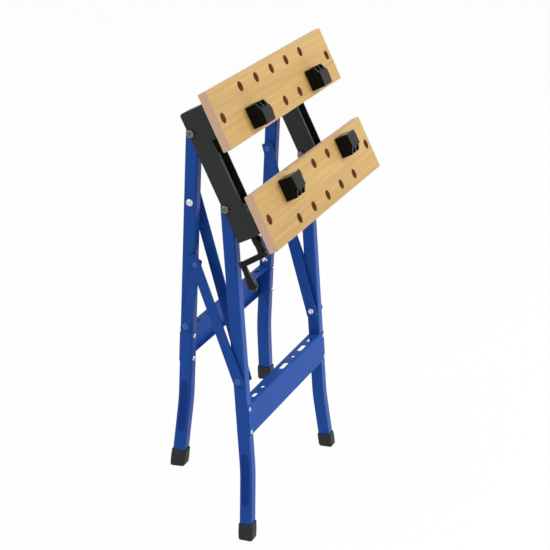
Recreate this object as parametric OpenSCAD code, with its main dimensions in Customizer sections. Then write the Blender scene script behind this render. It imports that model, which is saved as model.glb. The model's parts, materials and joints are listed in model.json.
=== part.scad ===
// Folding sawhorse with a clamping top: two wooden jaws on a pair of channel beams, carried by
// two steel leg frames that scissor together, with a locking spreader and a strut on each side.
// Millimetres. X runs along the jaws, -Y is the crank side, +Z is up, and the front feet are at Z = 0.

/* [Wooden jaws] */
// Length of each jaw along X
jaw_length = 605; // [560:5:650]
// Width of each jaw
jaw_width = 112; // [100:1:120]
// Thickness of each jaw
jaw_thickness = 17; // [15:0.5:20]
// Opening between the two jaws
jaw_gap = 87; // [60:1:87]
// Bevel along the jaw edges
jaw_bevel = 1.2; // [0.5:0.1:2]
// Spacing of the dog holes
dog_pitch = 80; // [70:1:85]
// Diameter of the dog holes
dog_hole_d = 20; // [18:0.5:21]
// Distance of a dog hole row from the jaw edge, and of the end holes from the jaw ends
dog_inset = 22.5; // [18:0.5:26]

/* [Channel beams] */
// Tilt of the beams as the sawhorse stands half folded
beam_tilt = 64; // [60:0.5:66]
// Distance of each beam centre from the middle
beam_x = 206; // [200:1:212]
// Outside width of a beam
beam_width = 40; // [38:1:44]
// Depth of a beam from its floor to its open top
beam_depth = 40; // [38:1:44]
// Sheet thickness of the beams
beam_wall = 2; // [1.5:0.1:2.5]
// Reach of a beam in front of the front pivot
beam_front = 68; // [64:1:74]
// Reach of a beam behind the front pivot
beam_rear = 192; // [188:1:200]
// Height of the jaw brackets above the beam
bracket_rise = 49; // [44:1:54]

/* [Screws and crank] */
// Diameter of the lead screws
screw_d = 10; // [8:0.5:10]
// Height of a lead screw above the pivot bolts
screw_rise = 23; // [21:0.5:24]
// Throw of the crank arm
crank_throw = 42.5; // [40:0.5:43]
// Angle at which the crank stands out from the legs
crank_turn = 35; // [30:5:60]
// Length of the crank grip
grip_length = 46; // [40:1:56]

/* [Legs] */
// Length of a leg from its pivot bolt to the ground
leg_length = 658; // [640:1:680]
// Width of a leg seen from the side
leg_width = 25; // [22:1:26]
// Depth of a leg along X
leg_depth = 24; // [22:1:25]
// Sheet thickness of the legs
leg_wall = 1.8; // [1.5:0.1:2.2]
// Distance of each leg centre from the middle
leg_x = 209; // [207:0.5:210]
// Forward lean of the front legs
front_lean = 3.9; // [3.4:0.1:4.4]
// Angle at which the feet splay outward
splay_angle = 12; // [8:0.5:14]
// Distance from the pivot bolt to the start of the splay
splay_start = 505; // [495:1:515]
// Length of the groove pressed into the outside of the splay
groove_length = 106; // [90:1:115]
// Width of that groove
groove_width = 17; // [12:0.5:18]
// Depth of that groove
groove_depth = 3; // [1:0.5:4]
// Height of a rubber foot
foot_height = 32; // [26:1:36]
// Thickness of a rubber foot's wall
foot_wall = 2; // [1.5:0.1:3]

/* [Folding linkage] */
// Distance between the front and rear pivot bolts of a beam
bolt_gap = 152; // [150:1:154]
// Rear leg: distance from the pivot bolt to the strut rivet
strut_drop = 133; // [132:0.5:134]
// Front leg: distance from the pivot bolt to the shared rivet of strut and spreader
shared_drop = 338; // [337:0.5:339]
// Rear leg: distance from the pivot bolt to the spreader rivet
spread_drop = 377; // [376:0.5:378]
// Length of a strut between its rivets
strut_length = 354.1; // [353.5:0.1:354.7]
// Length of a front spreader link between its rivets
front_link = 238.5; // [238:0.1:239]
// Length of a rear spreader link between its rivets
rear_link = 128.5; // [128:0.1:129]
// Width of the spreader links
link_width = 20; // [18:1:24]
// Width of the struts
strut_width = 22; // [18:1:25]
// Gap between a leg and its strut
strut_gap = 7; // [6:0.5:14]
// Sheet thickness of links and struts
link_thick = 3; // [2.5:0.1:3]
// Diameter of the rivet shanks
rivet_d = 6; // [5:0.5:7]

/* [Cross panels] */
// Distance from the pivot bolt to the top of a cross panel
panel_drop = 391; // [386:1:396]
// Height of a cross panel
panel_height = 62; // [55:1:68]
// Depth of the folded top flange of a cross panel
panel_flange = 24.5; // [21:0.5:25]
// Half length of a cross panel
panel_reach = 218; // [214:1:220]
// Sheet thickness of the cross panels
panel_wall = 1.5; // [1.2:0.1:2]

/* [Bench dogs] */
// Length of a dog along X
dog_length = 43; // [38:1:45]
// Width of a dog across the jaw
dog_width = 42; // [38:1:44]
// Height of a dog
dog_height = 29.5; // [26:0.5:32]
// Distance from a dog's stem to its flat clamping face
dog_nose = 14; // [12:0.5:16]

/* [Hidden] */
$fn = 48;

blue = "#2b58ad";
black = "#1c1d1f";
wood = "#d8ad72";
zinc = "#c4c8cc";
left = -1;
right = 1;
over = 1;            // overshoot of a cutting tool past the face it cuts
slip = 0.3;          // running gap between pieces that move past each other
bore_play = 0.1;     // radial play of a pin in its bore
pivot_d = 8;         // shank of the beam pivot bolts
sleeve_d = 13;       // spacer sleeve on a pivot bolt
head_d = 14;         // rivet and bolt heads
head_h = 2.6;
nut_flats_d = 14.5;
stub_d = 5;          // wood screws, bracket bolts and panel rivets
stub_head_d = 9;

// Linkage in the side view: [y, z] from the front pivot bolt.
function polar(radius, angle) = radius * [cos(angle), sin(angle)];
function heading(v) = atan2(v.y, v.x);
// Meeting point of a circle about p and a circle about q, on the chosen side of the line p-q.
function meet(p, rp, q, rq, side) =
    let (d = q - p,
         span = norm(d),
         unit = d / span,
         along = (rp * rp - rq * rq + span * span) / (2 * span),
         off = sqrt(max(0, rp * rp - along * along)))
    p + unit * along + side * off * [-unit.y, unit.x];

front_heading = -90 - front_lean;
shared_at = polar(shared_drop, front_heading);
rear_pivot = polar(bolt_gap, beam_tilt);
strut_at = meet(rear_pivot, strut_drop, shared_at, strut_length, 1);
rear_heading = heading(strut_at - rear_pivot);
spread_at = rear_pivot + polar(spread_drop, rear_heading);
elbow_at = meet(spread_at, rear_link, shared_at, front_link, -1);

// Heights above the line of the pivot bolts, and places along it from the front bolt.
beam_floor = -6;
beam_top = beam_floor + beam_depth;
jaw_under = beam_top + bracket_rise;
jaw_top = jaw_under + jaw_thickness;
jaw_overhang = 23;   // reach of the rear jaw behind the beams
rear_jaw_rear = beam_rear + jaw_overhang;
rear_jaw_front = rear_jaw_rear - jaw_width;
front_jaw_rear = rear_jaw_front - jaw_gap;
front_jaw_front = front_jaw_rear - jaw_width;
bracket_wall = 2;
front_bracket = [-beam_front + 2, -7];
rear_bracket = [beam_rear - 66, beam_rear - 0.5];
nut_block = [-30, -4];
nut_width = beam_width - 2 * beam_wall - 2;
nut_low = leg_width / 2 + 2.3;
nut_high = beam_top + 18;
screw_end = 100;
drive_flats = 7;     // squared drive end of a lead screw
hub_d = 18;
hub_length = 42;
hub_nose = 14;       // solid end of the crank's hub, in front of the screw
drive_length = hub_length - hub_nose - 1;
arm_thick = 11;
arm_width = 14;

// Outer faces of a leg on the right-hand side.
leg_out = leg_x + leg_depth / 2;
leg_in = leg_x - leg_depth / 2;
bend_radius = 220;
foot_grip = 26;      // length of leg inside a rubber foot

// The part is centred front to back on its overall box.
reach_front = min(
    (polar(front_jaw_front + jaw_bevel, beam_tilt) + polar(jaw_top, beam_tilt + 90)).x,
    (polar(front_jaw_front, beam_tilt) + polar(jaw_top - jaw_bevel, beam_tilt + 90)).x);
reach_rear = (rear_pivot + polar(leg_length, rear_heading)
    + polar(leg_width / 2 + foot_wall, rear_heading + 90)).x;
pivot_y = -(reach_front + reach_rear) / 2;
pivot_z = leg_length * cos(front_lean);

// Placing

module on_side(side) mirror([side < 0 ? 1 : 0, 0, 0]) children();

// Local -Z runs down the front legs from the front pivot bolts.
module on_front_leg() translate([0, pivot_y, pivot_z]) rotate([front_heading + 90, 0, 0]) children();

// Local -Z runs down the rear legs from the rear pivot bolts.
module on_rear_leg()
    translate([0, pivot_y + rear_pivot.x, pivot_z + rear_pivot.y])
        rotate([rear_heading + 90, 0, 0]) children();

// Local +Y runs up the beams from the front pivot bolts and +Z is square to the jaws.
module on_beam() translate([0, pivot_y, pivot_z]) rotate([beam_tilt, 0, 0]) children();

// Puts local origin at a point of the side view.
module at_point(p) translate([0, pivot_y + p.x, pivot_z + p.y]) children();

// Cylinder along +X from x = from to x = to.
module pin(d, from, to) translate([from, 0, 0]) rotate([0, 90, 0]) cylinder(h = to - from, d = d);

// Domed rivet head: base at x = from, crown away from it.
module dome(d, h, from, way = 1)
    translate([from, 0, 0]) rotate([0, 90 * way, 0]) {
        cylinder(h = h * 0.45, d = d);
        translate([0, 0, h * 0.45]) cylinder(h = h * 0.55, d1 = d, d2 = d * 0.55);
    }

// Block given by its lowest and highest corner.
module block(low, high) translate(low) cube(high - low);

// Legs and feet

// Outward shift of a leg's centre line at distance s below the pivot bolt.
function splay(s) =
    let (run = s - splay_start,
         arc = bend_radius * sin(splay_angle))
    run <= 0 ? 0
    : run < arc ? bend_radius - sqrt(bend_radius * bend_radius - run * run)
    : bend_radius * (1 - cos(splay_angle)) + (run - arc) * tan(splay_angle);

function bend_stations() = [for (i = [0:5]) splay_start + i / 5 * bend_radius * sin(splay_angle)];

// Bar along a leg between two distances below the pivot bolt. It spans low to high along X from
// the leg's centre line, and width across.
module leg_strip(from, to, low, high, width) {
    stations = [from, for (s = bend_stations()) if (s > from && s < to) s, to];
    rotate([90, 0, 0])
        linear_extrude(width, center = true)
            polygon(concat(
                [for (s = stations) [leg_x + high + splay(s), -s]],
                [for (i = [len(stations) - 1:-1:0]) [leg_x + low + splay(stations[i]), -stations[i]]]));
}

module leg_bar(from, to, grow = 0)
    leg_strip(from, to, -leg_depth / 2 - grow, leg_depth / 2 + grow, leg_width + 2 * grow);

// Side view of the rounded leg top, as a prism across the leg.
module leg_top_outline()
    translate([leg_in - over, 0, 0]) rotate([0, 90, 0]) {
        cylinder(h = 4 * leg_depth, d = leg_width);
        translate([0, -leg_width / 2, 0]) cube([leg_length + over, leg_width, 4 * leg_depth]);
    }

// Half space below the ground, seen from a leg that leans by front_lean.
module ground()
    rotate([front_lean, 0, 0])
        translate([0, -leg_length / 2, -pivot_z - leg_length])
            cube([leg_length, leg_length, leg_length]);

// Round-ended waste of the groove pressed into the outside of the splay, grown by grow on every
// side but the outer one.
module splay_groove(grow = 0) {
    width = groove_width + 2 * grow;
    high = splay_start - groove_width;
    low = high + groove_length;
    intersection() {
        leg_strip(high - grow, low + grow, leg_depth / 2 - groove_depth - grow, leg_depth / 2 + over, width);
        union() {
            for (s = [high + groove_width / 2, low - groove_width / 2])
                translate([0, 0, -s]) pin(width, leg_x, leg_x + 4 * leg_depth);
            block([leg_x, -width / 2, -low + groove_width / 2],
                  [leg_x + 4 * leg_depth, width / 2, -high - groove_width / 2]);
        }
    }
}

// One leg on the right-hand side, leaning away from a floor cut at its foot.
module leg(holes)
    color(blue)
        difference() {
            intersection() {
                leg_bar(-leg_width / 2, leg_length - foot_height + foot_grip);
                leg_top_outline();
            }
            difference() {
                leg_bar(-leg_width, leg_length, -leg_wall);
                splay_groove(leg_wall);
            }
            pin_bore(pivot_d, 0);
            for (hole = holes) pin_bore(rivet_d, hole);
            for (s = panel_rivet_drops())
                translate([panel_rivet_x(), -leg_width / 2 - over, -s]) rotate([-90, 0, 0])
                    cylinder(h = leg_width + 2 * over, d = stub_d);
            splay_groove();
        }

module pin_bore(d, drop)
    translate([0, 0, -drop]) pin(d + 2 * bore_play, leg_in - over, leg_out + over);

module foot()
    color(black)
        difference() {
            leg_bar(leg_length - foot_height, leg_length + 5, foot_wall);
            leg_bar(leg_length - foot_height - over, leg_length - foot_height + foot_grip);
            ground();
        }

// Cross panels

function panel_rivet_drops() = [panel_drop + 8, panel_drop + panel_height - 8];
function panel_rivet_x() = leg_x + 3;

// Tool slots in the top flange: place along X, length and width.
flange_slots = [[-156, 22, 8], [-112, 12, 6], [6, 36, 10], [60, 12, 6], [111, 36, 10], [160, 22, 8]];
flange_slot_y = -3;
bend_r = 2.5;        // outer radius of a sheet bend

module tool_slot(length, width)
    union() {
        square([length - width, width], center = true);
        for (side = [left, right]) translate([side * (length - width) / 2, 0]) circle(d = width);
    }

// Waste outside the rounded lower edge of a bend along X, with the corner at the local origin.
module bend_waste(reach)
    difference() {
        block([-reach - over, -over, -over], [reach + over, bend_r, bend_r]);
        translate([0, bend_r, bend_r]) pin(2 * bend_r, -reach - 2 * over, reach + 2 * over);
    }

module panel()
    color(blue)
        difference() {
            union() {
                block([-panel_reach, -leg_width / 2 - panel_wall, -panel_drop - panel_height],
                      [panel_reach, -leg_width / 2, -panel_drop]);
                panel_lip(panel_drop, panel_flange);
                panel_lip(panel_drop + panel_height - panel_wall, 10);
            }
            translate([0, -leg_width / 2 - panel_wall, -panel_drop]) mirror([0, 0, 1]) bend_waste(panel_reach);
            translate([0, -leg_width / 2 - panel_wall, -panel_drop - panel_height]) bend_waste(panel_reach);
            for (slot = flange_slots)
                translate([slot[0], flange_slot_y, -panel_drop - panel_wall - over])
                    linear_extrude(panel_wall + 2 * over) tool_slot(slot[1], slot[2]);
            for (side = [left, right], s = panel_rivet_drops())
                translate([side * panel_rivet_x(), -leg_width / 2 - panel_wall - over, -s])
                    rotate([-90, 0, 0]) cylinder(h = panel_wall + 2 * over, d = stub_d);
        }

module panel_lip(drop, depth)
    block([-leg_in + 2, -leg_width / 2 - panel_wall, -drop - panel_wall],
          [leg_in - 2, -leg_width / 2 - panel_wall + depth, -drop]);

// Rivets through panel and leg, with a low head in front and a taller one behind.
module panel_rivets()
    color(zinc)
        for (side = [left, right], s = panel_rivet_drops())
            translate([side * panel_rivet_x(), -leg_width / 2 - panel_wall, -s])
                rotate([0, 0, -90]) {
                    dome(stub_head_d, 2, 0);
                    dome(stub_head_d, 3.5, -panel_wall - leg_width, -1);
                    pin(stub_d, -panel_wall - leg_width, 0);
                }

// Beams and pivots

// Floor and two side walls, with the floor cut away where the legs swing.
module beam(side)
    color(black)
        on_beam() on_side(side)
            difference() {
                tray(-beam_front, beam_rear, 0);
                tray(-beam_front + beam_wall, beam_rear - beam_wall, beam_wall);
                leg_window(-beam_front - over, 18);
                leg_window(bolt_gap - 66, bolt_gap + 20);
                for (y = [0, bolt_gap])
                    translate([0, y, 0])
                        pin(pivot_d + 2 * bore_play, beam_x - beam_width / 2 - over,
                            beam_x + beam_width / 2 + over);
                translate([beam_x, -beam_front - over, screw_rise]) rotate([-90, 0, 0])
                    cylinder(h = beam_wall + 2 * over, d = screw_d + 2 * bore_play);
                translate([0, beam_rear, beam_floor]) rear_corner();
            }

// Beam-shaped block with rounded lower edges, drawn in by inset and open at the top when inset.
module tray(from, to, inset) {
    r = 2 * beam_wall - inset;
    half = beam_width / 2 - inset;
    low = beam_floor + inset;
    high = beam_top + (inset > 0 ? over : 0);
    translate([beam_x, to, 0]) rotate([90, 0, 0])
        linear_extrude(to - from)
            union() {
                translate([-half, low + r]) square([2 * half, high - low - r]);
                translate([-half + r, low]) square([2 * half - 2 * r, 2 * r]);
                for (side = [left, right]) translate([side * (half - r), low + r]) circle(r = r);
            }
}

module leg_window(from, to)
    block([beam_x - beam_width / 2 + beam_wall, from, beam_floor - over],
          [beam_x + beam_width / 2 - beam_wall, to, beam_floor + 2 * beam_wall + over]);

// Waste outside the rounded lower corner at the rear end of a beam.
module rear_corner(r = 8)
    difference() {
        block([beam_x - beam_width, -r, -over], [beam_x + beam_width, over, r]);
        translate([0, -r, r]) pin(2 * r, beam_x - beam_width - over, beam_x + beam_width + over);
    }

module pivot_bolts()
    color(zinc)
        on_beam() for (side = [left, right], y = [0, bolt_gap])
            on_side(side) translate([0, y, 0]) {
                dome(head_d + 2, 4, beam_x + beam_width / 2);
                pin(pivot_d, beam_x - beam_width / 2 - 7, beam_x + beam_width / 2);
            }

module pivot_nuts()
    color(zinc)
        on_beam() for (side = [left, right], y = [0, bolt_gap])
            on_side(side) translate([0, y, 0])
                difference() {
                    translate([beam_x - beam_width / 2 - 5.5, 0, 0]) rotate([0, 90, 0])
                        cylinder(h = 5.5, d = nut_flats_d, $fn = 6);
                    pin(pivot_d + bore_play, beam_x - beam_width / 2 - 8, beam_x);
                }

// Sleeves that keep each leg in place between the beam's walls.
module pivot_spacers()
    color(zinc)
        on_beam() for (side = [left, right], y = [0, bolt_gap])
            on_side(side) translate([0, y, 0]) {
                sleeve(beam_x - beam_width / 2 + beam_wall, leg_in - slip);
                sleeve(leg_out + slip, beam_x + beam_width / 2 - beam_wall);
            }

module sleeve(from, to, bore = pivot_d + bore_play)
    difference() {
        pin(sleeve_d, from, to);
        pin(bore, from - over, to + over);
    }

// Jaws, brackets and dogs

function dog_holes() = [
    for (row = [dog_inset, jaw_width - dog_inset], k = [-2:2]) [k * dog_pitch, row],
    for (side = [left, right]) [side * (jaw_length / 2 - dog_inset), jaw_width / 2]];

notch_x = 125;       // small half-round notch in the gap edge
notch_d = 6;

// Wooden jaw with its gap edge at local y = 0 and its underside at z = 0.
module jaw(screws)
    color(wood)
        difference() {
            rotate([90, 0, 90]) linear_extrude(jaw_length, center = true) jaw_section();
            for (hole = dog_holes())
                translate([hole.x, hole.y, -over])
                    cylinder(h = jaw_thickness + 2 * over, d = dog_hole_d);
            translate([notch_x, 0, jaw_thickness - notch_d]) cylinder(h = notch_d + over, d = notch_d);
            for (side = [left, right], y = screws)
                translate([side * beam_x, y, -over]) cylinder(h = jaw_thickness - 5, d = stub_d);
        }

module jaw_section() {
    b = jaw_bevel;
    polygon([[b, 0], [jaw_width - b, 0], [jaw_width, b], [jaw_width, jaw_thickness - b],
             [jaw_width - b, jaw_thickness], [b, jaw_thickness], [0, jaw_thickness - b], [0, b]]);
}

rear_screws = [37, 73];      // wood screws, from the gap edge of the rear jaw
front_screws = [42, 70];     // wood screws, from the gap edge of the front jaw

module on_rear_jaw() on_beam() translate([0, rear_jaw_front, jaw_under]) children();

// The front jaw is the same board turned end for end.
module on_front_jaw() on_beam() translate([0, front_jaw_rear, jaw_under]) rotate([0, 0, 180]) children();

// Folded bracket, open below, between a beam and a jaw.
module bracket(side, span, low)
    on_beam() on_side(side)
        difference() {
            block([beam_x - beam_width / 2, span[0], low], [beam_x + beam_width / 2, span[1], jaw_under]);
            block([beam_x - beam_width / 2 + bracket_wall, span[0] - over, low - over],
                  [beam_x + beam_width / 2 - bracket_wall, span[1] + over, jaw_under - bracket_wall]);
            children();
        }

module screw_holes(ys)
    for (y = ys) translate([beam_x, y, jaw_under - bracket_wall - over])
        cylinder(h = bracket_wall + 2 * over, d = stub_d);

function rear_screw_ys() = [for (y = rear_screws) rear_jaw_front + y];
function front_screw_ys() = [for (y = front_screws) front_jaw_rear - y];

module rear_bracket(side) color(black) bracket(side, rear_bracket, beam_top) screw_holes(rear_screw_ys());

module front_bracket(side)
    color(black)
        bracket(side, front_bracket, beam_top + slip) {
            screw_holes(front_screw_ys());
            bracket_bolt_hole();
        }

bracket_bolt_y = -17;
bracket_bolt_rise = 45;

module bracket_bolt_hole()
    translate([0, bracket_bolt_y, bracket_bolt_rise])
        pin(stub_d, beam_x - beam_width / 2 - over, beam_x + beam_width / 2 + over);

module jaw_screws(ys)
    color(zinc)
        on_beam() for (side = [left, right], y = ys)
            translate([side * beam_x, y, jaw_under - bracket_wall]) {
                cylinder(h = bracket_wall + jaw_thickness - 7, d = stub_d);
                translate([0, 0, -2]) cylinder(h = 2, d = stub_head_d);
            }

// Threaded block that carries one end of the front jaw along its lead screw.
module screw_nut(side)
    color("#3a3c40")
        on_beam() on_side(side)
            difference() {
                block([beam_x - nut_width / 2, nut_block[0], nut_low],
                      [beam_x + nut_width / 2, nut_block[1], nut_high]);
                translate([beam_x, nut_block[0] - over, screw_rise]) rotate([-90, 0, 0])
                    cylinder(h = nut_block[1] - nut_block[0] + 2 * over, d = screw_d + 2 * bore_play);
                bracket_bolt_hole();
            }

module bracket_bolts()
    color(zinc)
        on_beam() for (side = [left, right]) on_side(side)
            translate([0, bracket_bolt_y, bracket_bolt_rise]) {
                dome(stub_head_d + 1, 2.5, beam_x + beam_width / 2);
                dome(stub_head_d + 1, 2.5, beam_x - beam_width / 2, -1);
                pin(stub_d, beam_x - beam_width / 2, beam_x + beam_width / 2);
            }

// Dog with its stem on the local Z axis and its flat face toward +Y. Its back is cut into ribs.
dog_back = dog_width - dog_nose;
dog_rib = 5.5;
rib_run = 12;        // how far the ribs reach behind the solid part
rib_floor = 8;
dog_crease = 15;     // height of the crease along each side

module dog_section()
    polygon([[dog_nose, 0], [dog_nose, dog_height - 1.2], [dog_nose - 11, dog_height],
             [-dog_back + rib_run + 1, dog_height], [-dog_back + rib_run, dog_height - 2.5],
             [-dog_back, dog_height - 7.5], [-dog_back, 0]]);

module dog() {
    hollow = (dog_length - 3 * dog_rib) / 2;
    color(black) {
        difference() {
            rotate([90, 0, 90]) linear_extrude(dog_length, center = true) dog_section();
            for (side = [left, right]) {
                translate([side * (hollow + dog_rib) / 2, -dog_back + rib_run - hollow / 2, rib_floor]) {
                    cylinder(h = dog_height, d = hollow);
                    block([-hollow / 2, -rib_run, 0], [hollow / 2, 0, dog_height]);
                }
                translate([side * dog_length / 2, 0, 0])
                    block([-1.2, -dog_back - over, dog_crease - 1.5], [1.2, dog_nose + over, dog_crease + 1.5]);
            }
        }
        translate([0, 0, -jaw_thickness - 4]) cylinder(h = jaw_thickness + 4 + over, d = dog_hole_d - 0.8);
    }
}

module place_dog(side) translate([side * 2 * dog_pitch, 0, jaw_thickness + slip]) children();

module rear_dog(side) on_rear_jaw() translate([0, dog_inset, 0]) place_dog(side) rotate([0, 0, 180]) dog();
module front_dog(side)
    on_beam() translate([0, front_jaw_rear - dog_inset, jaw_under]) place_dog(side) dog();

// Lead screws and crank

// Lead screw along local +Y with a squared drive end, on the right-hand side.
module lead_screw(side)
    color(zinc)
        on_beam() on_side(side)
            translate([beam_x, -beam_front - 2, screw_rise]) rotate([-90, 0, 0]) {
                cylinder(h = screw_end + beam_front + 2, d = screw_d);
                translate([-drive_flats / 2, -drive_flats / 2, -drive_length])
                    cube([drive_flats, drive_flats, drive_length + over]);
            }

// Collar that holds a screw endways behind the beam's front wall.
module collar(side)
    color(zinc)
        on_beam() on_side(side)
            translate([beam_x, -beam_front + beam_wall + slip, screw_rise]) rotate([-90, 0, 0])
                difference() {
                    cylinder(h = 6, d = screw_d + 6);
                    translate([0, 0, -over]) cylinder(h = 6 + 2 * over, d = screw_d);
                }

crank_face = -beam_front - 2;
arm_front = crank_face - hub_length;

// Local -Z runs along the left screw from the front of the crank arm; the arm lies along +Y.
module on_crank()
    on_beam() on_side(left)
        translate([beam_x, arm_front, screw_rise]) rotate([-90, 0, 0]) rotate([0, 0, -crank_turn]) children();

module crank()
    color(black)
        on_crank()
            difference() {
                union() {
                    cylinder(h = hub_length, d = hub_d);
                    linear_extrude(arm_thick) arm_outline();
                    translate([0, crank_throw, 0]) cylinder(h = arm_thick, d = arm_width + 1);
                }
                translate([0, 0, hub_nose]) rotate([0, 0, crank_turn]) drive_socket();
                translate([0, crank_throw, -over]) cylinder(h = arm_thick + 2 * over, d = stub_d + 1);
            }

module drive_socket() {
    flats = drive_flats + 2 * bore_play;
    translate([-flats / 2, -flats / 2, 0]) cube([flats, flats, hub_length]);
}

// Arm between its hub and its pin, narrowing towards the pin.
module arm_outline() {
    near = hub_d / 2 - 1;
    far = arm_width / 2 - 0.3;
    polygon([[-near, 0], [near, 0], [far, crank_throw], [-far, crank_throw]]);
}

module on_grip() on_crank() translate([0, crank_throw, 0]) rotate([180, 0, 0]) children();

// Shouldered pin through the grip, riveted into the end of the arm.
module crank_pin()
    color(zinc)
        on_grip() {
            translate([0, 0, -arm_thick]) cylinder(h = arm_thick + grip_length + 1, d = stub_d + 1);
            translate([0, 0, grip_length + 1]) cylinder(h = 2, d = 10);
        }

// Radius of the grip against the share of its length.
grip_profile = [[6, 0.08], [5.8, 0.18], [8.2, 0.58], [9.5, 0.8], [9.3, 0.93], [7.4, 1]];

module crank_grip()
    color(black)
        on_grip()
            rotate_extrude()
                polygon([[stub_d / 2 + 0.7, slip], [5.4, slip], for (p = grip_profile) [p.x, p.y * grip_length],
                         [stub_d / 2 + 0.7, grip_length]]);

// Struts and spreader links

// Flat link between two points of the side view, from x = from to x = from + link_thick, reaching
// past p by near and past q by far.
module link(p, q, width, from, near, far)
    color(blue)
        at_point(p) rotate([heading(q - p), 0, 0])
            difference() {
                block([from, -near, -width / 2], [from + link_thick, norm(q - p) + far, width / 2]);
                for (y = [0, norm(q - p)])
                    translate([0, y, 0]) pin(rivet_d + 2 * bore_play, from - over, from + link_thick + over);
                for (y = [-near, norm(q - p) + far], z = [-width / 2, width / 2])
                    translate([from - over, y, z]) rotate([45, 0, 0])
                        translate([0, -1.5, -1.5]) cube([link_thick + 2 * over, 3, 3]);
            }

strut_x = leg_in - strut_gap - link_thick;
rear_link_x = leg_out + slip;
front_link_x = rear_link_x + link_thick + slip;

module strut(side) on_side(side) link(shared_at, strut_at, strut_width, strut_x, 12, 12);
module spreader_front(side) on_side(side) link(shared_at, elbow_at, link_width, front_link_x, 10, 19);
module spreader_rear(side) on_side(side) link(spread_at, elbow_at, link_width, rear_link_x, 10, 10);

// Rivet along X with a domed head at each end.
module rivet(from, to, inner_head = true) {
    dome(head_d, head_h, to);
    pin(rivet_d, from, to);
    if (inner_head) dome(head_d - 2, head_h, from, -1);
}

module shared_rivets()
    color(zinc)
        for (side = [left, right]) on_side(side) at_point(shared_at)
            rivet(strut_x - slip, front_link_x + link_thick + slip);

module strut_top_rivets()
    color(zinc)
        for (side = [left, right]) on_side(side) at_point(strut_at)
            rivet(strut_x + link_thick + slip, leg_out, false);

module spreader_bottom_rivets()
    color(zinc)
        for (side = [left, right]) on_side(side) at_point(spread_at)
            rivet(leg_in, rear_link_x + link_thick + slip);

// Sleeves between the rear legs and the top ends of the struts.
module strut_top_spacers()
    color(zinc)
        for (side = [left, right]) on_side(side) at_point(strut_at)
            sleeve(strut_x + link_thick + slip, leg_in, rivet_d + bore_play);

// Sleeves that keep strut and spreader in their planes beside the front legs.
module shared_spacers()
    color(zinc)
        for (side = [left, right]) on_side(side) at_point(shared_at) {
            sleeve(strut_x + link_thick + slip, leg_in, rivet_d + bore_play);
            sleeve(leg_out, front_link_x - slip, rivet_d + bore_play);
        }

// Stud fixed in the top end of a strut.
module strut_stud(side)
    color(zinc)
        on_side(side) at_point(strut_at) {
            pin(rivet_d + 2 * bore_play, strut_x, strut_x + link_thick);
            dome(head_d - 2, head_h, strut_x, -1);
        }

// Rivet fixed in the elbow end of a front spreader link.
module link_rivet(side)
    color(zinc)
        on_side(side) at_point(elbow_at) {
            dome(head_d - 2, head_h, front_link_x + link_thick);
            pin(rivet_d + 2 * bore_play, front_link_x, front_link_x + link_thick);
        }

front_holes = [shared_drop];
rear_holes = [strut_drop, spread_drop];

module front_leg(side) on_front_leg() on_side(side) leg(front_holes);
module rear_leg(side) on_rear_leg() mirror([0, 1, 0]) on_side(side) leg(rear_holes);

front_leg(left);  // front_leg_left
front_leg(right);  // front_leg_right
on_front_leg() on_side(left) foot();  // front_foot_left
on_front_leg() on_side(right) foot();  // front_foot_right
on_front_leg() panel();  // front_panel
on_front_leg() panel_rivets();  // front_panel_rivets
shared_rivets();
rear_leg(left);  // rear_leg_left
rear_leg(right);  // rear_leg_right
on_rear_leg() mirror([0, 1, 0]) on_side(left) foot();  // rear_foot_left
on_rear_leg() mirror([0, 1, 0]) on_side(right) foot();  // rear_foot_right
on_rear_leg() mirror([0, 1, 0]) panel();  // rear_panel
on_rear_leg() mirror([0, 1, 0]) panel_rivets();  // rear_panel_rivets
strut_top_rivets();
spreader_bottom_rivets();
strut_top_spacers();
shared_spacers();
beam(left);  // beam_left
beam(right);  // beam_right
pivot_bolts();
pivot_nuts();
pivot_spacers();
on_rear_jaw() jaw(rear_screws);  // rear_jaw
rear_bracket(left);  // rear_bracket_left
rear_bracket(right);  // rear_bracket_right
jaw_screws(rear_screw_ys());  // rear_jaw_screws
on_front_jaw() jaw(front_screws);  // front_jaw
front_bracket(left);  // front_bracket_left
front_bracket(right);  // front_bracket_right
jaw_screws(front_screw_ys());  // front_jaw_screws
screw_nut(left);  // screw_nut_left
screw_nut(right);  // screw_nut_right
bracket_bolts();
strut(left);  // strut_left
strut(right);  // strut_right
strut_stud(left);  // strut_stud_left
strut_stud(right);  // strut_stud_right
spreader_front(left);  // front_link_left
spreader_front(right);  // front_link_right
spreader_rear(left);  // rear_link_left
spreader_rear(right);  // rear_link_right
link_rivet(left);  // link_rivet_left
link_rivet(right);  // link_rivet_right
lead_screw(left);  // lead_screw_left
crank();
collar(left);  // crank_collar
crank_pin();
crank_grip();
lead_screw(right);  // lead_screw_right
collar(right);  // screw_collar_right
rear_dog(left);  // dog_rear_left
rear_dog(right);  // dog_rear_right
front_dog(left);  // dog_front_left
front_dog(right);  // dog_front_right
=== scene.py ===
"""Looks of the folding sawhorse: finishes for its steel, wood, rubber and plastic, and the pressed, turned
and moulded pieces whose rounded forms stand over the plain solids."""
import json
import math

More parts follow.
